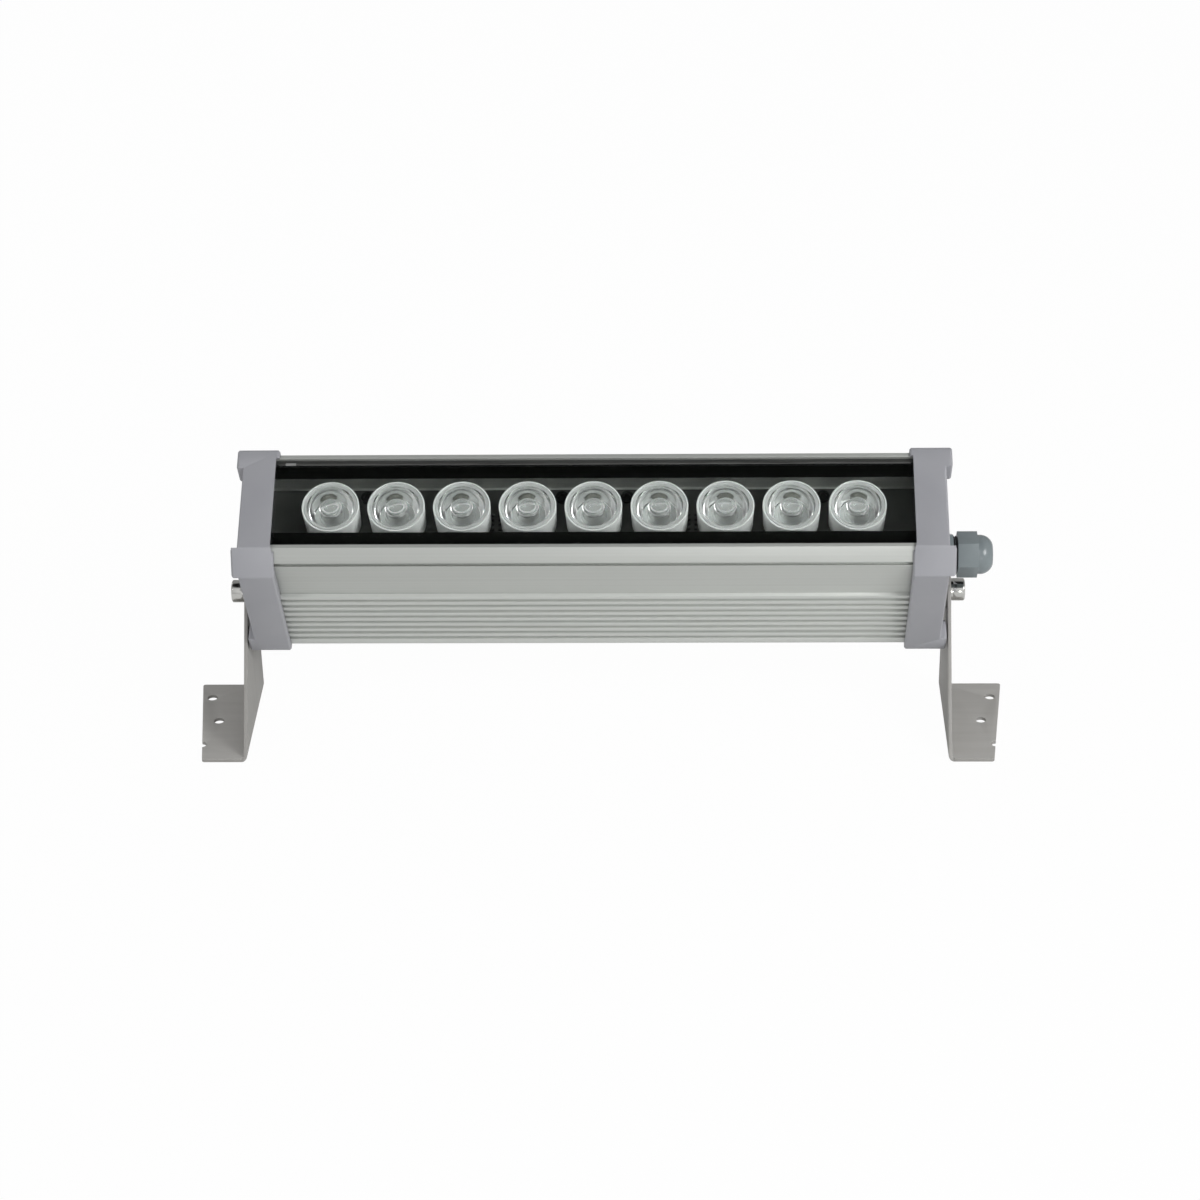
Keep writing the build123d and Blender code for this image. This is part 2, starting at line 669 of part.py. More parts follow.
def gland_body():
    collar = bar(hexagon(GLAND, GLAND_HEX, GLAND_COLLAR_TURN), GLAND_WASHER_FACE, GLAND_COLLAR_END)
    thread = bar(disc(GLAND, GLAND_THREAD_RADIUS), GLAND_TAIL_END, GLAND_NUT_TURN)
    bore = bar(disc(GLAND, GLAND_BORE_RADIUS), GLAND_TAIL_END, GLAND_SEAT)
    seat = bar(disc(GLAND, GLAND_NECK_RADIUS), GLAND_SEAT, GLAND_NUT_TURN)
    return collar + thread - bore - seat


def gland_nut():
    corner = GLAND_HEX / 3 ** 0.5
    hexagonal = bar(hexagon(GLAND, GLAND_HEX, GLAND_HEX_TURN), GLAND_NUT_START, GLAND_NUT_END)
    dome_start = GLAND_NUT_TURN + GLAND_DOME_STRAIGHT
    profile = Polyline(
        (GLAND_NUT_START, 0),
        (GLAND_NUT_START, corner),
        (GLAND_NUT_TURN, corner),
        (GLAND_NUT_TURN, GLAND_DOME_RADIUS),
        (dome_start, GLAND_DOME_RADIUS),
    ) + ThreePointArc(
        (dome_start, GLAND_DOME_RADIUS),
        (GLAND_NUT_TURN + GLAND_DOME_MIDDLE[0], GLAND_DOME_MIDDLE[1]),
        (GLAND_NUT_END, GLAND_DOME_END),
    ) + Polyline(
        (GLAND_NUT_END, GLAND_DOME_END),
        (GLAND_NUT_END, 0),
        (GLAND_NUT_START, 0),
    )
    turned = Pos(0, GLAND_U, -GLAND_V) * revolve(make_face(profile), Axis.X)
    thread = gland_hole(GLAND_NUT_START, GLAND_NUT_TURN)
    neck = bar(disc(GLAND, GLAND_NECK_RADIUS), GLAND_NUT_TURN, GLAND_INSERT_END)
    mouth = bar(disc(GLAND, GLAND_MOUTH_RADIUS), GLAND_INSERT_END, GLAND_NUT_END)
    return (hexagonal & turned) - thread - neck - mouth


def gland_insert():
    outer = disc(GLAND, GLAND_NECK_RADIUS - GLAND_CLEARANCE)
    return bar(outer - disc(GLAND, GLAND_INSERT_BORE), GLAND_SEAT, GLAND_INSERT_END)


def gland_washer():
    ring = disc(GLAND, GLAND_HEX / 2) - disc(GLAND, GLAND_THREAD_RADIUS + GLAND_CLEARANCE)
    return bar(ring, HALF_LENGTH, GLAND_WASHER_FACE)


def gland_locknut():
    face = hexagon(GLAND, GLAND_LOCKNUT_HEX) - disc(GLAND, GLAND_THREAD_RADIUS + GLAND_CLEARANCE)
    return bar(face, CAP_FLOOR - GLAND_LOCKNUT, CAP_FLOOR)


# ---- pivot bolts and washers, for the right side ----
PIVOT = (PIVOT_U, PIVOT_V)


def pivot_bolt():
    round_in = BOLT_HEAD_RADIUS - BOLT_HEAD_ROUND
    tip = HALF_LENGTH - BOLT_REACH
    bolt = turned_on_x([
        (tip, 0),
        (tip, BOLT_RADIUS - BOLT_HEAD_ROUND),
        (tip + BOLT_HEAD_ROUND, BOLT_RADIUS),
        (BOLT_SEAT, BOLT_RADIUS),
        (BOLT_SEAT, BOLT_HEAD_RADIUS),
        (BOLT_TOP - BOLT_HEAD_ROUND, BOLT_HEAD_RADIUS),
        (BOLT_TOP, round_in),
        (BOLT_TOP, 0),
    ], PIVOT)
    return bolt - bar(hexagon(PIVOT, BOLT_SOCKET), BOLT_TOP - BOLT_SOCKET_DEPTH, BOLT_TOP)


def spring_washer():
    ring = disc(PIVOT, SPRING_WASHER_RADIUS) - disc(PIVOT, BOLT_RADIUS + RUNNING_GAP)
    split_middle = Pos(PIVOT_U, -PIVOT_V + SPRING_WASHER_RADIUS / 2)
    split = split_middle * Rectangle(SPRING_WASHER_SPLIT, SPRING_WASHER_RADIUS)
    return bar(ring - split, SPRING_INNER, BOLT_SEAT)


def friction_washer():
    ring = disc(PIVOT, FRICTION_WASHER_RADIUS) - disc(PIVOT, BOLT_RADIUS + RUNNING_GAP)
    return bar(ring, HUB_FACE, HUB_FACE + FRICTION_WASHER)


# ---- brackets, in the world's frame with Y = 0 at the feet's front edge ----
def foot_edge(setback):
    """The foot's slanted outer edge, from the middle of the light."""
    front = ARM_INNER + FOOT_FRONT_WIDTH
    return front + (FOOT_BACK_WIDTH - FOOT_FRONT_WIDTH) * setback / FOOT_LENGTH


def bracket():
    corner = SHEET + BEND_RADIUS
    outer_corner = ARM_INNER + corner
    pivot = (PIVOT_SETBACK, PIVOT_HEIGHT)
    edges = (Pos(*pivot) * Circle(ARM_HEAD_RADIUS)).edges()
    edges += Polyline((0, 0), (FOOT_LENGTH, 0), (FOOT_LENGTH, ARM_BACK_HEIGHT)).edges()
    side = make_hull(edges)
    arm_top = PIVOT_HEIGHT + ARM_HEAD_RADIUS
    bend = make_face(
        Polyline((outer_corner, 0), (outer_corner, SHEET))
        + ThreePointArc(
            (outer_corner, SHEET),
            (ARM_OUTER + BEND_RADIUS * (1 - 0.5 ** 0.5), SHEET + BEND_RADIUS * (1 - 0.5 ** 0.5)),
            (ARM_OUTER, corner),
        )
        + Polyline((ARM_OUTER, corner), (ARM_OUTER, arm_top), (ARM_INNER, arm_top), (ARM_INNER, corner))
        + ThreePointArc(
            (ARM_INNER, corner),
            (ARM_INNER + corner * (1 - 0.5 ** 0.5), corner * (1 - 0.5 ** 0.5)),
            (outer_corner, 0),
        )
    )
    arm = extrude(Plane.XZ * bend, amount=-FOOT_LENGTH) & bar(side, ARM_INNER, outer_corner)
    arm -= bar(Pos(*pivot) * Circle(BOLT_RADIUS + RUNNING_GAP), ARM_INNER, ARM_OUTER)
    foot = make_face(Polyline(
        (outer_corner, 0),
        (foot_edge(0), 0),
        (foot_edge(FOOT_LENGTH), FOOT_LENGTH),
        (outer_corner, FOOT_LENGTH),
        close=True,
    ))
    foot = fillet([v for v in foot.vertices() if v.X > outer_corner + FOOT_CORNER], FOOT_CORNER)
    for inset, setback in (FOOT_HOLE_BACK, FOOT_HOLE_MIDDLE, FOOT_NOTCH):
        foot -= Pos(foot_edge(setback) - inset, setback) * Circle(FOOT_HOLE_RADIUS)
    return arm + extrude(foot, amount=SHEET)


# ---- placing ----
def hang(shape):
    """Tilts the housing's frame so that its pivots meet the brackets' pivots."""
    pivot = Rot(TILT, 0, 0) * Pos(0, PIVOT_U, -PIVOT_V)
    lift = Vector(0, PIVOT_SETBACK, PIVOT_HEIGHT) - pivot.position
    return Pos(lift) * Rot(TILT, 0, 0) * shape


def hung_parts():
    gland_opening = gland_hole(HOUSING_END, HALF_LENGTH)
    locknut_corner = GLAND_LOCKNUT_HEX / 3 ** 0.5
    locknut_opening = bar(disc(GLAND, locknut_corner + GASKET_INSET), HOUSING_END, CAP_FLOOR)
    parts = {
        "housing_extrusion": housing_extrusion(),
        "end_cap_right": end_cap() - gland_opening,
        "end_cap_left": other_side(end_cap()),
        "end_gasket_right": end_gasket() - locknut_opening,
        "end_gasket_left": other_side(end_gasket()),
        "cover_glass": cover_glass(),
        "glass_border": Compound(glass_border()),
        "glass_seal": glass_seal(),
        "led_board": led_board(),
        "board_screws": Compound(board_screws()),
        "driver_case": driver_case(),
        "driver_cover": driver_cover(),
        "driver_board": driver_board(),
        "driver_screws": Compound(driver_screws()),
        "terminal_block": terminal_block(),
        "gland_body": gland_body(),
        "gland_nut": gland_nut(),
        "gland_insert": gland_insert(),
        "gland_washer": gland_washer(),
        "gland_locknut": gland_locknut(),
    }
    for number, x in enumerate(lens_places(), start=1):
        parts[f"lens_{number}"] = lens(x)
        parts[f"lens_holder_{number}"] = lens_holder(x)
        parts[f"led_{number}"] = led(x)
    for name, shape in (
        ("cap_screws", Compound(cap_screws())),
        ("pivot_bolt", pivot_bolt()),
        ("spring_washer", spring_washer()),
        ("friction_washer", friction_washer()),
    ):
        parts[f"{name}_right"] = shape
        parts[f"{name}_left"] = other_side(shape)
    return parts


def all_parts():
    """Every piece in place, with the origin under the middle of the whole light."""
    parts = {name: hang(shape) for name, shape in hung_parts().items()}
    parts["bracket_right"] = bracket()
    parts["bracket_left"] = other_side(bracket())
    boxes = [shape.bounding_box() for shape in parts.values()]
    front = min(box.min.Y for box in boxes)
    back = max(box.max.Y for box in boxes)
    centre = Pos(0, -(front + back) / 2, 0)
    return {name: centre * shape for name, shape in parts.items()}


os.makedirs("parts", exist_ok=True)
for node, shape in all_parts().items():
    export_step(shape, f"parts/{node}.step")
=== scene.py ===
import json
import math

import bmesh
import bpy
from mathutils import Matrix, Vector


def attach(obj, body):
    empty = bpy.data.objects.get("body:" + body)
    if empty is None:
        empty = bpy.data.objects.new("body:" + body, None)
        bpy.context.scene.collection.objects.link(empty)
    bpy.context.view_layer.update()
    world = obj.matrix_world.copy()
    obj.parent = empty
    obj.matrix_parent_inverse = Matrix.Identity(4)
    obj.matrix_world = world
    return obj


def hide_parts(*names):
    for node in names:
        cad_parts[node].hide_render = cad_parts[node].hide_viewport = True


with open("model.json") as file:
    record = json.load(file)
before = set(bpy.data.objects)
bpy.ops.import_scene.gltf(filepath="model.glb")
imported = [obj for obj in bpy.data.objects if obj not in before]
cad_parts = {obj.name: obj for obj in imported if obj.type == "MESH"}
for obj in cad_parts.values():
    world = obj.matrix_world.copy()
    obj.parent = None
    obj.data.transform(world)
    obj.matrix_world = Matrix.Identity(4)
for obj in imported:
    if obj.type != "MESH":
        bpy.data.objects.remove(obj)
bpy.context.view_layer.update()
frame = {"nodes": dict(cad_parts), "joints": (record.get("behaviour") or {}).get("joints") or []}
nodes = frame["nodes"]
MM = 0.001

# ---- the housing's own frame: X along it, U across the window, V down from the window, in mm ----
TILT = math.radians(31.0)
PIVOT_UV = (25.0, 65.2)
joint = next(j for j in frame["joints"] if j["name"] == "right_bracket_pivot")
PIVOT = Vector((0.0, joint["pos_m"][1], joint["pos_m"][2]))
HUNG = (
    Matrix.Translation(PIVOT)
    @ Matrix.Rotation(TILT, 4, "X")
    @ Matrix.Translation(Vector((0.0, -PIVOT_UV[0], PIVOT_UV[1])) * MM)
    @ Matrix.Scale(MM, 4)
)


def hung(x, u, v):
    return HUNG @ Vector((x, u, -v))


# ---- meshes ----
SAME_POINT = 1e-7       # points nearer than this are one, in metres
SAME_CAD_POINT = 2e-6   # the same for the loose triangles of a CAD node
FLAT_WITHIN = 0.6       # triangles this near to one plane become one face, in degrees
SHARP_FROM = 25.0       # edges that turn by more than this are eased, in degrees
LONGEST_REACH = 0.49    # share of a side that one rounded corner may take


def placed(name, data):
    """A new object in the scene that shows the data."""
    made = bpy.data.objects.new(name, data)
    bpy.context.scene.collection.objects.link(made)
    return made


def finish_piece(name, bm, materials, body="light", smooth=30.0, replace=()):
    """Turns a bmesh in metres into a riding piece, which may stand for CAD nodes."""
    bmesh.ops.remove_doubles(bm, verts=bm.verts, dist=SAME_POINT)
    bmesh.ops.recalc_face_normals(bm, faces=bm.faces)
    mesh = bpy.data.meshes.new(name)
    bm.to_mesh(mesh)
    bm.free()
    piece = placed(name, mesh)
    for material in materials:
        mesh.materials.append(material)
    mesh.shade_smooth()
    mesh.set_sharp_from_angle(angle=math.radians(smooth))
    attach(piece, body)
    if replace:
        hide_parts(*replace)
    return piece


def spun(bm, profile, matrix, steps=96, closed=True, zone=None):
    """Adds a turned solid to an empty bmesh.

    The profile is (radius, along) in mm, turned about the matrix's own Z. The zone gives a
    face's material from its radius and its place along that line.
    """
    verts = [bm.verts.new(matrix @ Vector((radius, 0.0, along))) for radius, along in profile]
    edges = [bm.edges.new(pair) for pair in zip(verts, verts[1:])]
    if closed:
        edges.append(bm.edges.new((verts[-1], verts[0])))
    line = (matrix.to_3x3() @ Vector((0.0, 0.0, 1.0))).normalized()
    middle = matrix @ Vector((0.0, 0.0, 0.0))
    bmesh.ops.spin(
        bm, geom=verts + edges, cent=middle, axis=line, angle=2 * math.pi, steps=steps, use_merge=True,
    )
    bmesh.ops.remove_doubles(bm, verts=bm.verts, dist=SAME_POINT)
    if zone:
        back = matrix.inverted()
        for face in bm.faces:
            place = back @ face.calc_center_median()
            face.material_index = zone(math.hypot(place.x, place.y), place.z)


def rounded(points, radii, steps=5):
    """A closed outline with each corner rounded by its own radius."""
    out = []
    for i, (point, radius) in enumerate(zip(points, radii)):
        here = Vector(point)
        if radius <= 0:
            out.append(tuple(here))
            continue
        before = Vector(points[i - 1]) - here
        after = Vector(points[(i + 1) % len(points)]) - here
        reach = min(
            radius / math.tan(before.angle(after) / 2),
            before.length * LONGEST_REACH,
            after.length * LONGEST_REACH,
        )
        start = here + before.normalized() * reach
        end = here + after.normalized() * reach
        for k in range(steps + 1):
            t = k / steps
            out.append(tuple((1 - t) ** 2 * start + 2 * t * (1 - t) * here + t ** 2 * end))
    return out


def eased(node, width, name, materials, body="light", segments=2, smooth=30.0):
    """A copy of a CAD node with its sharp edges eased by a width in mm, standing for the node."""
    bm = bmesh.new()
    bm.from_mesh(nodes[node].data)
    bmesh.ops.remove_doubles(bm, verts=bm.verts, dist=SAME_CAD_POINT)
    bmesh.ops.dissolve_degenerate(bm, edges=bm.edges, dist=SAME_CAD_POINT / 2)
    bmesh.ops.dissolve_limit(
        bm, angle_limit=math.radians(FLAT_WITHIN), verts=bm.verts, edges=bm.edges,
    )
    turn = math.radians(SHARP_FROM)
    sharp = [e for e in bm.edges if len(e.link_faces) == 2 and e.calc_face_angle(0) > turn]
    bmesh.ops.bevel(
        bm, geom=sharp, offset=width * MM, offset_type="OFFSET", segments=segments,
        profile=0.5, affect="EDGES", material=-1, clamp_overlap=True,
    )
    return finish_piece(name, bm, materials, body, smooth, (node,))


# ---- material parts ----
def node(tree, kind, links=None, **values):
    """A new node with its settings, its plain numbers (in_NAME) and its incoming links."""
    made = tree.nodes.new(kind)
    for key, value in values.items():
        if key.startswith("in_"):
            made.inputs[key[3:].replace("_", " ")].default_value = value
        else:
            setattr(made, key, value)
    for target, source in (links or {}).items():
        tree.links.new(source, made.inputs[target])
    return made


def product(tree, source, factor):
    """A value times a fixed number or times another value."""
    made = node(tree, "ShaderNodeMath", {0: source}, operation="MULTIPLY")
    if isinstance(factor, float):
        made.inputs[1].default_value = factor
    else:
        tree.links.new(factor, made.inputs[1])
    return made.outputs[0]


def ramp(tree, source, start, end, low=0.0, high=1.0, **values):
    """Goes from low to high while the source goes from start to end."""
    made = node(tree, "ShaderNodeMapRange", {"Value": source}, **values)
    for label, value in (("From Min", start), ("From Max", end), ("To Min", low), ("To Max", high)):
        made.inputs[label].default_value = value
    return made.outputs[0]


def group(name, inputs, outputs):
    tree = bpy.data.node_groups.new(name, "ShaderNodeTree")
    for label, kind, default in inputs:
        socket = tree.interface.new_socket(name=label, in_out="INPUT", socket_type=kind)
        socket.default_value = default
    for label, kind in outputs:
        tree.interface.new_socket(name=label, in_out="OUTPUT", socket_type=kind)
    return tree, tree.nodes.new("NodeGroupInput"), tree.nodes.new("NodeGroupOutput")


def stretched_place(tree, start):
    """The place on the piece, times the group's Stretch."""
    place = node(tree, "ShaderNodeTexCoord")
    links = {0: place.outputs["Object"], 1: start.outputs["Stretch"]}
    return node(tree, "ShaderNodeVectorMath", links, operation="MULTIPLY").outputs[0]


def noise_group():
    """Noise along its own stretch, as a value about a middle and as a height."""
    tree, start, end = group(
        "stretched_noise",
        [("Stretch", "NodeSocketVector", (1.0, 1.0, 1.0)), ("Detail", "NodeSocketFloat", 3.0),
         ("Middle", "NodeSocketFloat", 0.4), ("Spread", "NodeSocketFloat", 0.1)],
        [("Value", "NodeSocketFloat"), ("Height", "NodeSocketFloat")],
    )
    links = {"Vector": stretched_place(tree, start), "Detail": start.outputs["Detail"]}
    noise = node(tree, "ShaderNodeTexNoise", links, in_Scale=1.0)
    centred = node(tree, "ShaderNodeMath", {0: noise.outputs["Fac"]}, operation="SUBTRACT")
    centred.inputs[1].default_value = 0.5
    spread = product(tree, centred.outputs[0], start.outputs["Spread"])
    value = node(tree, "ShaderNodeMath", {0: spread, 1: start.outputs["Middle"]}, operation="ADD")
    tree.links.new(value.outputs[0], end.inputs["Value"])
    tree.links.new(noise.outputs["Fac"], end.inputs["Height"])
    return tree


def tint_group():
    """A colour that drifts between two close tones in soft patches."""
    tree, start, end = group(
        "soft_patches",
        [("Stretch", "NodeSocketVector", (1.0, 1.0, 1.0)), ("Low", "NodeSocketColor", (0.4, 0.4, 0.4, 1.0)),
         ("High", "NodeSocketColor", (0.5, 0.5, 0.5, 1.0))],
        [("Color", "NodeSocketColor")],
    )
    links = {"Vector": stretched_place(tree, start)}
    noise = node(tree, "ShaderNodeTexNoise", links, in_Scale=1.0, in_Detail=4.0)
    share = ramp(tree, noise.outputs["Fac"], 0.3, 0.7)
    links = {"Factor": share, 6: start.outputs["Low"], 7: start.outputs["High"]}
    mix = node(tree, "ShaderNodeMix", links, data_type="RGBA")
    tree.links.new(mix.outputs[2], end.inputs["Color"])
    return tree


NOISE = noise_group()
PATCHES = tint_group()


def principled(name, **sockets):
    """A new material, its node tree and its shader, with the shader's plain numbers set."""
    material = bpy.data.materials.new(name)
    material.use_nodes = True
    shader = material.node_tree.nodes["Principled BSDF"]
    for key, value in sockets.items():
        shader.inputs[key.replace("_", " ")].default_value = value
    return material, material.node_tree, shader


def relief(tree, shader, grains, height):
    """Raises the surface by the grain's height, in metres."""
    bump = node(
        tree, "ShaderNodeBump", {"Height": grains.outputs["Height"]}, in_Strength=1.0, in_Distance=height,
    )
    tree.links.new(bump.outputs["Normal"], shader.inputs["Normal"])


def surface(name, low, high, patch, roughness, rough_spread, grain, height, metallic=0.0, **sockets):
    """A surface with a tone that drifts from low to high, uneven roughness and a fine grain.

    The patch and the grain are how fast the tone and the grain change, per metre on X, Y and Z.
    """
    material, tree, shader = principled(name, Metallic=metallic, **sockets)
    patches = node(tree, "ShaderNodeGroup", node_tree=PATCHES)
    patches.inputs["Stretch"].default_value = patch
    patches.inputs["Low"].default_value = (*low, 1.0)
    patches.inputs["High"].default_value = (*high, 1.0)
    tree.links.new(patches.outputs["Color"], shader.inputs["Base Color"])
    grains = node(tree, "ShaderNodeGroup", node_tree=NOISE)
    grains.inputs["Stretch"].default_value = grain
    grains.inputs["Middle"].default_value = roughness
    grains.inputs["Spread"].default_value = rough_spread
    tree.links.new(grains.outputs["Value"], shader.inputs["Roughness"])
    relief(tree, shader, grains, height)
    return material


CLEAR_GRAIN = (700.0, 700.0, 700.0)
CLEAR_SHADOW = (0.95, 0.96, 0.955, 1.0)   # share of the light that a clear piece lets through


def clear(name, colour, ior, roughness=0.0, height=0.0, transmission=1.0):
    """A clear solid that bends what is seen through it and lets light through to what it covers."""
    material, tree, shader = principled(
        name, Base_Color=(*colour, 1.0), Roughness=roughness, IOR=ior, Transmission_Weight=transmission,
    )
    if height:
        grains = node(tree, "ShaderNodeGroup", node_tree=NOISE)
        grains.inputs["Stretch"].default_value = CLEAR_GRAIN
        relief(tree, shader, grains, height)
    path = node(tree, "ShaderNodeLightPath")
    through = node(tree, "ShaderNodeBsdfTransparent", in_Color=CLEAR_SHADOW)
    links = {0: path.outputs["Is Shadow Ray"], 1: shader.outputs[0], 2: through.outputs[0]}
    mix = node(tree, "ShaderNodeMixShader", links)
    tree.links.new(mix.outputs[0], tree.nodes["Material Output"].inputs["Surface"])
    return material


# ---- materials ----
anodised = surface("anodised_aluminium", (0.515, 0.531, 0.508), (0.553, 0.569, 0.546), (3, 900, 900),
                   0.44, 0.10, (6, 4200, 4200), 0.000012, metallic=0.55)
# the ribbed zone of the same extrusion, painted lighter than the band as painted light
ribs_painted_lighter = surface("anodised_ribs_painted_light", (0.63, 0.648, 0.625), (0.675, 0.692, 0.668), (3, 900, 900),
                 0.40, 0.10, (6, 4200, 4200), 0.000012, metallic=0.5)
paint = surface("cap_paint", (0.345, 0.348, 0.375), (0.365, 0.368, 0.393), (60, 60, 60),
                0.45, 0.08, (1500, 1500, 1500), 0.000012, metallic=0.1)
steel = surface("bracket_steel", (0.48, 0.47, 0.45), (0.52, 0.51, 0.49), (30, 300, 300),
                0.48, 0.08, (25, 2800, 2800), 0.000006, metallic=0.2, Specular_IOR_Level=0.3)
# the arms are the same steel as the feet, painted darker as painted shade
arm_painted_shade_steel = surface("bracket_arm_painted_shade", (0.335, 0.327, 0.313), (0.365, 0.357, 0.343), (300, 300, 30),
                    0.48, 0.08, (2800, 2800, 25), 0.000006, metallic=0.2, Specular_IOR_Level=0.3)
bolt_steel = surface("bolt_steel", (0.60, 0.60, 0.58), (0.65, 0.65, 0.63), (200, 200, 200),
                     0.14, 0.06, (2500, 2500, 2500), 0.000003, metallic=1.0)
dark_screw = surface("dark_screw_steel", (0.02, 0.02, 0.02), (0.03, 0.03, 0.03), (200, 200, 200),
                     0.4, 0.1, (2500, 2500, 2500), 0.000004, metallic=0.6)
nylon = surface("gland_nylon", (0.19, 0.222, 0.232), (0.214, 0.247, 0.257), (90, 90, 90),
                0.22, 0.08, (1800, 1800, 1800), 0.000008)
# the gland's own nylon, painted near black as painted shade in the gap
thread_painted_shade = surface("gland_thread_painted_shade", (0.025, 0.028, 0.03), (0.035, 0.038, 0.04), (90, 90, 90),
                      0.4, 0.08, (1800, 1800, 1800), 0.000008)
rubber = surface("gasket_rubber", (0.02, 0.02, 0.02), (0.03, 0.03, 0.03), (90, 90, 90),
                 0.6, 0.1, (1500, 1500, 1500), 0.00001)
printed = surface("glass_print", (0.0025, 0.003, 0.0025), (0.003, 0.0035, 0.003), (40, 40, 40),
                  0.35, 0.04, (900, 900, 900), 0.000002, Specular_IOR_Level=0.12)
sealant = surface("glass_sealant", (0.02, 0.021, 0.02), (0.04, 0.042, 0.04), (30, 400, 400),
                  0.40, 0.1, (60, 500, 500), 0.00004)
bead_gloss = surface("sealant_bead", (0.03, 0.031, 0.03), (0.07, 0.072, 0.07), (40, 400, 400),
                     0.22, 0.08, (200, 600, 600), 0.00002)
# the bead's sealant painted lighter at the lump as a painted highlight; the lump's swell itself is real
# shape
highlight_painted_gloss = surface("sealant_painted_highlight", (0.20, 0.204, 0.20), (0.32, 0.325, 0.32), (200, 600, 600),
                      0.25, 0.08, (200, 600, 600), 0.00002)
cup = surface("holder_plastic", (0.72, 0.735, 0.725), (0.77, 0.785, 0.775), (200, 200, 200),
              0.30, 0.08, (1200, 1200, 1200), 0.000006)
# the same holder plastic, painted lighter on the outer wall as painted light against the shade it sits in
cup_wall_painted_light = surface("holder_wall_painted_light", (0.86, 0.87, 0.86), (0.90, 0.91, 0.90), (200, 200, 200),
                   0.35, 0.08, (1200, 1200, 1200), 0.000006)
phosphor = surface("led_phosphor", (0.60, 0.60, 0.55), (0.66, 0.66, 0.60), (500, 500, 500),
                   0.25, 0.05, (2000, 2000, 2000), 0.000004)
mask = surface("board_mask", (0.062, 0.064, 0.061), (0.085, 0.087, 0.083), (60, 60, 60),
               0.45, 0.1, (1600, 1600, 1600), 0.000006)
chip_black = surface("chip_black", (0.006, 0.006, 0.006), (0.01, 0.01, 0.01), (300, 300, 300),
                     0.5, 0.1, (3000, 3000, 3000), 0.000003)
laminate = surface("driver_laminate", (0.02, 0.10, 0.04), (0.03, 0.13, 0.05), (90, 90, 90),
                   0.45, 0.1, (1600, 1600, 1600), 0.000006)
ivory = surface("terminal_plastic", (0.55, 0.55, 0.50), (0.60, 0.60, 0.55), (90, 90, 90),
                0.45, 0.1, (1600, 1600, 1600), 0.000006)
natural = surface("washer_nylon", (0.50, 0.50, 0.46), (0.55, 0.55, 0.51), (90, 90, 90),
                  0.45, 0.1, (1600, 1600, 1600), 0.000006)
sheet_metal = surface("driver_sheet", (0.40, 0.40, 0.40), (0.46, 0.46, 0.46), (60, 60, 60),
                      0.4, 0.1, (30, 2500, 2500), 0.000006, metallic=0.9)
cover = clear("cover_glass", (0.97, 0.99, 0.98), 1.5)
acrylic = clear("lens_acrylic", (0.985, 0.99, 0.987), 1.49, roughness=0.02, height=0.00001)
satin_acrylic = clear("lens_side_acrylic", (0.96, 0.965, 0.962), 1.49, roughness=0.05, height=0.00002)
frosted = clear("lens_flange_acrylic", (0.66, 0.67, 0.665), 1.49, roughness=0.4, transmission=0.5)

LENS_COUNT = 9
BY_NODE = {
    "cover_glass": cover, "glass_border": printed, "glass_seal": sealant, "led_board": mask,
    "board_screws": dark_screw, "driver_screws": bolt_steel, "driver_case": sheet_metal,
    "driver_cover": sheet_metal, "driver_board": laminate, "terminal_block": ivory, "gland_body": nylon,
    "gland_locknut": nylon, "gland_insert": rubber, "gland_washer": rubber,
}
for side in ("left", "right"):
    BY_NODE[f"end_gasket_{side}"] = rubber
    BY_NODE[f"cap_screws_{side}"] = bolt_steel
    BY_NODE[f"spring_washer_{side}"] = bolt_steel
    BY_NODE[f"friction_washer_{side}"] = natural
for number in range(1, LENS_COUNT + 1):
    BY_NODE[f"led_{number}"] = phosphor
for name, material in BY_NODE.items():
    for slot in nodes[name].material_slots:
        slot.material = material

# ---- eased copies of the pieces whose edges show ----
RIBS_FROM = 30.65     # V, just above the first rib; faces below it get the ribs' painted lighter tone
STEEP = 0.7           # a face that leans more than this is on a bracket's arm, not on its foot, and gets the arm's painted shade

housing = eased("housing_extrusion", 0.18, "housing_body", [anodised, ribs_painted_lighter],
                segments=3, smooth=40.0)
# faces below RIBS_FROM are painted lighter, standing in for the light the ribs catch
for face in housing.data.polygons:
    if -(HUNG.inverted() @ face.center).z > RIBS_FROM:
        face.material_index = 1
eased("gland_nut", 0.3, "gland_dome_nut", [nylon], segments=3)
for side in ("left", "right"):
    eased(f"end_cap_{side}", 0.15, f"cap_shell_{side}", [paint])
    eased(f"pivot_bolt_{side}", 0.12, f"pivot_screw_{side}", [bolt_steel])
    sheet = eased(f"bracket_{side}", 0.15, f"bracket_sheet_{side}", [steel, arm_painted_shade_steel],
                  body=f"{side}_bracket", segments=3, smooth=20.0)
    # steep faces, the arms, get the darker painted-shade copy of the steel
    for face in sheet.data.polygons:
        if abs(face.normal.z) < STEEP:
            face.material_index = 1

# ---- lenses and their cups: heights are V, down from the window, and the rest are radii ----
LENS_PITCH = 28.08
LENS_LINE = 33.4          # U of the row
CROWN_TOP = 7.4
CROWN_STEPS = 12
OPTIC_RADIUS = 10.1
FLANGE_RADIUS = 11.3
FLANGE_LOW = 9.6
NECK_RADIUS = 10.2
SIDE_STEPS = 12
SIDE_BOW = 0.9
FOOT_RADIUS = 6.9
LENS_FOOT = 21.0
WELL_RADIUS = 5.2         # the well opens in the lens's foot, over the LED
WELL_TOP_RADIUS = 4.8
WELL_TOP = 11.4
WELL_BULGE = 2.2
WELL_STEPS = 8
CUP_TOP = 8.1
CUP_RADIUS = 12.3
CUP_LOW_RADIUS = 11.9
CUP_BORE = 11.55
CUP_LEDGE = 10.5
CUP_LEDGE_TOP = FLANGE_LOW + 0.05
CUP_HOLE = 2.6
CUP_WALL = 0.7
CUP_FLOOR = 0.8
BOARD_TOP = 22.4


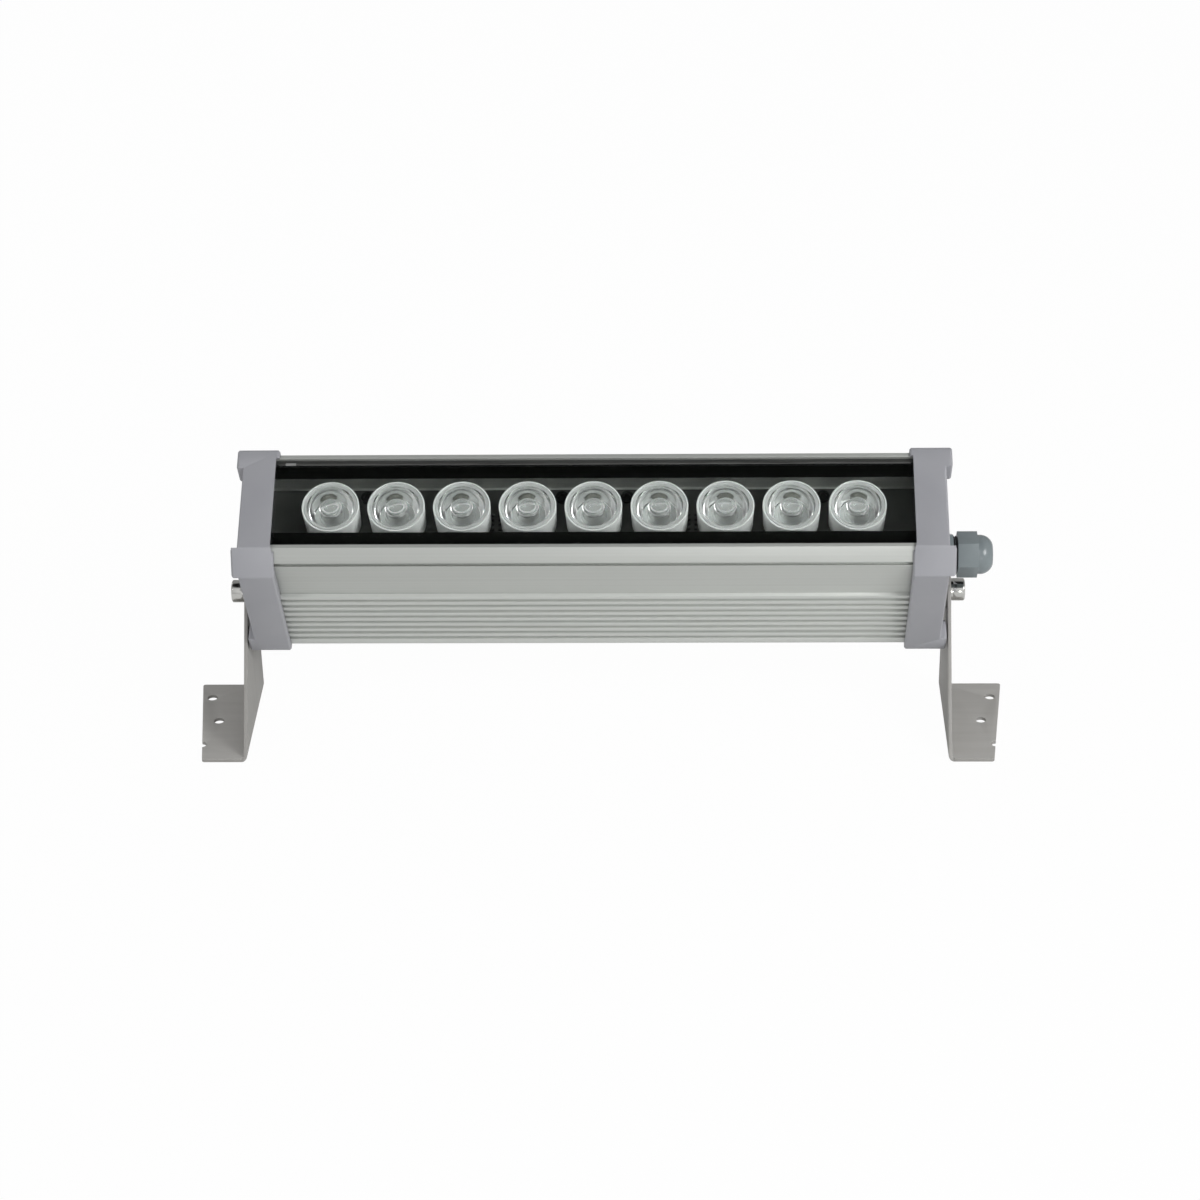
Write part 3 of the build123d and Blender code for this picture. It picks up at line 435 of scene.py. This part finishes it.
def lens_profile():
    """From the crown's middle out over the flange, down the bowed side and up into the well."""
    rise = CUP_TOP - CROWN_TOP
    points = []
    for k in range(CROWN_STEPS + 1):
        radius = OPTIC_RADIUS * k / CROWN_STEPS
        points.append((radius, -(CROWN_TOP + rise * (radius / FLANGE_RADIUS) ** 2)))
    points += [
        (OPTIC_RADIUS + 0.05, -CUP_TOP - 0.15), (FLANGE_RADIUS - 0.15, -CUP_TOP - 0.05),
        (FLANGE_RADIUS, -CUP_TOP - 0.2), (FLANGE_RADIUS, -FLANGE_LOW), (NECK_RADIUS, -FLANGE_LOW),
    ]
    for k in range(1, SIDE_STEPS + 1):
        t = k / SIDE_STEPS
        radius = NECK_RADIUS + (FOOT_RADIUS - NECK_RADIUS) * t + SIDE_BOW * math.sin(math.pi * t)
        points.append((radius, -(FLANGE_LOW + (LENS_FOOT - FLANGE_LOW) * t)))
    points += [(WELL_RADIUS, -LENS_FOOT), (WELL_TOP_RADIUS, -WELL_TOP)]
    for k in range(1, WELL_STEPS + 1):
        radius = WELL_TOP_RADIUS * (1 - k / WELL_STEPS)
        points.append((radius, -(WELL_TOP + WELL_BULGE * (1 - (radius / WELL_RADIUS) ** 2))))
    return points


def lens_zone(radius, along):
    """0 on the crown and in the well, 1 on the bowed side, 2 on the flange."""
    if radius > OPTIC_RADIUS and along > -FLANGE_LOW - 0.01:
        return 2
    if radius > WELL_RADIUS and along < -FLANGE_LOW:
        return 1
    return 0


def cup_profile():
    """Down the outer wall, in along the foot, and up the inside over the ledge to the rim."""
    corners = [
        (CUP_RADIUS, -CUP_TOP, 0.3),
        (CUP_LOW_RADIUS, -BOARD_TOP, 0.1),
        (CUP_HOLE, -BOARD_TOP, 0.0),
        (CUP_HOLE, -BOARD_TOP + CUP_FLOOR, 0.2),
        (CUP_LOW_RADIUS - CUP_WALL, -BOARD_TOP + CUP_FLOOR, 0.4),
        (CUP_LEDGE + 0.4, -FLANGE_LOW - 0.7, 0.2),
        (CUP_LEDGE, -CUP_LEDGE_TOP, 0.1),
        (CUP_BORE, -CUP_LEDGE_TOP, 0.05),
        (CUP_BORE, -CUP_TOP, 0.25),
    ]
    return rounded([corner[:2] for corner in corners], [corner[2] for corner in corners])


def cup_zone(radius, along):
    """1 on the outer wall below the rim, which is painted lighter as painted light, 0 elsewhere."""
    return int(radius > CUP_LOW_RADIUS - 0.2 and along < -CUP_TOP - 0.5)


for number in range(1, LENS_COUNT + 1):
    x = LENS_PITCH * (number - (LENS_COUNT + 1) / 2)
    at = HUNG @ Matrix.Translation(Vector((x, LENS_LINE, 0.0)))
    bm = bmesh.new()
    spun(bm, lens_profile(), at, closed=False, zone=lens_zone)
    finish_piece(f"lens_solid_{number}", bm, [acrylic, satin_acrylic, frosted],
                 replace=(f"lens_{number}",))
    bm = bmesh.new()
    spun(bm, cup_profile(), at, zone=cup_zone)
    finish_piece(f"lens_cup_{number}", bm, [cup, cup_wall_painted_light], smooth=50.0,
                 replace=(f"lens_holder_{number}",))

# ---- bead of sealant along the far edge of the glass ----
BEAD_MIDDLE = (51.9, 2.45)          # U and V
BEAD_HALF = (0.6, 0.45)             # half its width and height
BEAD_LENGTH = 270.0
BEAD_SIDES = 16
BEAD_CUTS = 180
WAVE_SWELL = 0.12
WAVE_TURNS = (0.11, 0.037)          # radians per mm of two slow waves
PAINTED_HIGHLIGHT_X = (-131.6, -127.6)            # from and to X, where the bead is painted lighter as a painted highlight on its lump
BEAD_LUMPS = (                      # X, half length and swell
    (-129.5, 2.6, 1.1), (96.0, 7.0, 0.22), (-60.0, 9.0, 0.12), (12.0, 6.0, 0.15),
)


def sealant_bead():
    bm = bmesh.new()
    bmesh.ops.create_cone(
        bm, cap_ends=True, segments=BEAD_SIDES, radius1=1.0, radius2=1.0, depth=BEAD_LENGTH,
        matrix=Matrix.Rotation(math.pi / 2, 4, "Y"),
    )
    long_edges = [e for e in bm.edges if abs(e.verts[0].co.x - e.verts[1].co.x) > 1.0]
    bmesh.ops.subdivide_edges(bm, edges=long_edges, cuts=BEAD_CUTS)
    for vert in bm.verts:
        x, y, z = vert.co
        swell = 1.0 + WAVE_SWELL * math.sin(x * WAVE_TURNS[0]) * math.sin(x * WAVE_TURNS[1] + 1.0)
        for middle, half, rise in BEAD_LUMPS:
            swell += rise * math.exp(-((x - middle) / half) ** 2)
        vert.co = hung(x, BEAD_MIDDLE[0] + BEAD_HALF[0] * y, BEAD_MIDDLE[1] - BEAD_HALF[1] * z * swell)
    # faces within this stretch of X get the painted highlight
    for face in bm.faces:
        if PAINTED_HIGHLIGHT_X[0] < face.calc_center_median().x / MM < PAINTED_HIGHLIGHT_X[1]:
            face.material_index = 1
    finish_piece("sealant_bead", bm, [bead_gloss, highlight_painted_gloss], smooth=60.0)


sealant_bead()

# ---- small parts on the light board ----
CHIP = (1.3, 0.9, 0.6)
CHIP_EDGE = 0.08
CHIP_GAPS = (-1.5, 1.5)             # gaps in the row of lenses, in pitches from its middle
CHIP_COLUMNS = (-1.5, 1.5)          # X from the gap's middle
CHIP_ROWS = [27.6 + 2.3 * row for row in range(5)]    # U


def board_chips():
    """Two columns of small parts in each of the two gaps."""
    bm = bmesh.new()
    for gap in CHIP_GAPS:
        for column in CHIP_COLUMNS:
            for row in CHIP_ROWS:
                chip = bmesh.ops.create_cube(bm, size=1.0)["verts"]
                place = Matrix.Translation((LENS_PITCH * gap + column, row, -BOARD_TOP + CHIP[2] / 2))
                bmesh.ops.transform(bm, verts=chip, matrix=HUNG @ place @ Matrix.Diagonal((*CHIP, 1.0)))
    bmesh.ops.bevel(
        bm, geom=list(bm.edges), offset=CHIP_EDGE * MM, offset_type="OFFSET", segments=1,
        profile=0.5, affect="EDGES", material=-1,
    )
    finish_piece("board_chips", bm, [chip_black])


board_chips()

# ---- turns of thread that show between the gland's collar and its nut, painted near black as painted shade ----
GLAND_UV = (26.0, 36.3)
THREAD_START = 154.1
THREAD_END = 156.0
THREAD_TURNS = 2
THREAD_RADIUS = 7.55
THREAD_CREST = 8.1
THREAD_INNER = 7.25
CREST_SHARES = (0.4, 0.6)           # from and to, as shares of a turn


def gland_thread():
    pitch = (THREAD_END - THREAD_START) / THREAD_TURNS
    profile = [(THREAD_RADIUS, THREAD_START)]
    for turn in range(THREAD_TURNS):
        start = THREAD_START + pitch * turn
        profile += [(THREAD_CREST, start + pitch * share) for share in CREST_SHARES]
        profile.append((THREAD_RADIUS, start + pitch))
    profile += [(THREAD_INNER, THREAD_END), (THREAD_INNER, THREAD_START)]
    bm = bmesh.new()
    along_x = Matrix.Translation((0.0, GLAND_UV[0], -GLAND_UV[1])) @ Matrix.Rotation(math.pi / 2, 4, "Y")
    spun(bm, profile, HUNG @ along_x, steps=72)
    finish_piece("gland_thread", bm, [thread_painted_shade])


gland_thread()

# ---- floor: white to the camera, dim in reflections, and plain to the lamps ----
FLOOR_HALF = 8.0
FLOOR_SEEN = 0.975
FLOOR_MIRRORED = 0.28

bm = bmesh.new()
bmesh.ops.create_grid(bm, x_segments=1, y_segments=1, size=FLOOR_HALF)
floor_mesh = bpy.data.meshes.new("floor")
bm.to_mesh(floor_mesh)
bm.free()
floor = placed("floor", floor_mesh)
floor_material = bpy.data.materials.new("floor_white")
floor_material.use_nodes = True
tree = floor_material.node_tree
tree.nodes.remove(tree.nodes["Principled BSDF"])
path = node(tree, "ShaderNodeLightPath")
plain = node(tree, "ShaderNodeBsdfDiffuse", in_Color=(0.85, 0.85, 0.84, 1.0))
glow = node(tree, "ShaderNodeEmission", in_Strength=1.0)
mirrored = product(tree, path.outputs["Is Glossy Ray"], FLOOR_MIRRORED)
seen = product(tree, path.outputs["Is Camera Ray"], FLOOR_SEEN)
share = node(tree, "ShaderNodeMath", {0: seen, 1: mirrored}, operation="MAXIMUM")
mix = node(tree, "ShaderNodeMixShader", {0: share.outputs[0], 1: plain.outputs[0], 2: glow.outputs[0]})
tree.links.new(mix.outputs[0], tree.nodes["Material Output"].inputs["Surface"])
floor_mesh.materials.append(floor_material)

# ---- room: bright before the light and to its right, dimmer behind it, dark straight overhead ----
ROOM_LEVEL = 0.84

world = bpy.data.worlds.new("studio")
bpy.context.scene.world = world
world.use_nodes = True
tree = world.node_tree
direction = node(tree, "ShaderNodeTexCoord")
parts = node(tree, "ShaderNodeSeparateXYZ", {0: direction.outputs["Generated"]})
room = None
for axis, start, end, low, high in (
    ("Y", -0.35, 0.45, 1.0, 0.45),      # from before the light to behind it
    ("Z", 0.80, 0.965, 1.0, 0.015),     # up to overhead
    ("Z", 0.05, 0.40, 0.78, 1.0),       # up from the floor
    ("X", -0.85, 0.25, 0.62, 1.0),      # from its left to its right
):
    share = ramp(tree, parts.outputs[axis], start, end, low, high, interpolation_type="SMOOTHSTEP")
    room = product(tree, room, share) if room else share
path = node(tree, "ShaderNodeLightPath")
links = {"Factor": path.outputs["Is Camera Ray"], "A": product(tree, room, ROOM_LEVEL)}
strength = node(tree, "ShaderNodeMix", links, data_type="FLOAT", in_B=1.0)
back = tree.nodes["Background"]
back.inputs["Color"].default_value = (1.0, 1.0, 1.0, 1.0)
tree.links.new(strength.outputs[0], back.inputs["Strength"])

# ---- lamps: place, height of the point on the middle line they face, side of the square, power ----
LAMPS = {
    "key_right": ((0.85, -0.72, 0.74), 0.08, 0.45, 6.8),
    "fill_left": ((-0.85, -0.72, 0.74), 0.08, 0.12, 1.0),
    "rim_left": ((-1.0, 0.8, 1.2), 0.05, 0.5, 2.5),
    "fill_front": ((0.3, -1.5, 0.2), 0.06, 0.2, 1.0),
}
for name, (place, height, size, power) in LAMPS.items():
    data = bpy.data.lights.new(name, "AREA")
    data.shape = "RECTANGLE"
    data.size = data.size_y = size
    data.energy = power
    lamp = placed(name, data)
    lamp.location = place
    lamp.rotation_euler = (Vector((0.0, 0.0, height)) - Vector(place)).to_track_quat("-Z", "Y").to_euler()

# ---- camera: where the photograph's camera stood, fitted in the part's frame ----
ELEVATION = math.radians(30.0)
AZIMUTH = math.radians(2.089)
ROLL = math.radians(-1.185)
AIM = Vector((0.0, -0.0040035, 0.060))
DISTANCE = 1.33899
IMAGE = 1200.0              # the picture's side in pixels, as the next three are
FOCAL = 3061.38
SHIFT_RIGHT = 3.726
SHIFT_UP = 3.146
SENSOR = 36.0               # in mm

away = Vector((
    math.sin(AZIMUTH) * math.cos(ELEVATION), -math.cos(AZIMUTH) * math.cos(ELEVATION), math.sin(ELEVATION),
))
sideways = Vector((math.cos(AZIMUTH), math.sin(AZIMUTH), 0.0))
upward = away.cross(sideways)
rolled_side = sideways * math.cos(ROLL) + upward * math.sin(ROLL)
rolled_up = upward * math.cos(ROLL) - sideways * math.sin(ROLL)
turned = Matrix((rolled_side, rolled_up, away)).transposed().to_4x4()
lens = bpy.data.cameras.new("camera")
lens.sensor_fit = "HORIZONTAL"
lens.sensor_width = SENSOR
lens.lens = FOCAL / IMAGE * SENSOR
lens.shift_x = SHIFT_RIGHT / IMAGE
lens.shift_y = SHIFT_UP / IMAGE
camera = placed("camera", lens)
camera.matrix_world = Matrix.Translation(AIM + away * DISTANCE) @ turned
bpy.context.scene.camera = camera
bpy.context.scene.view_settings.view_transform = "Standard"
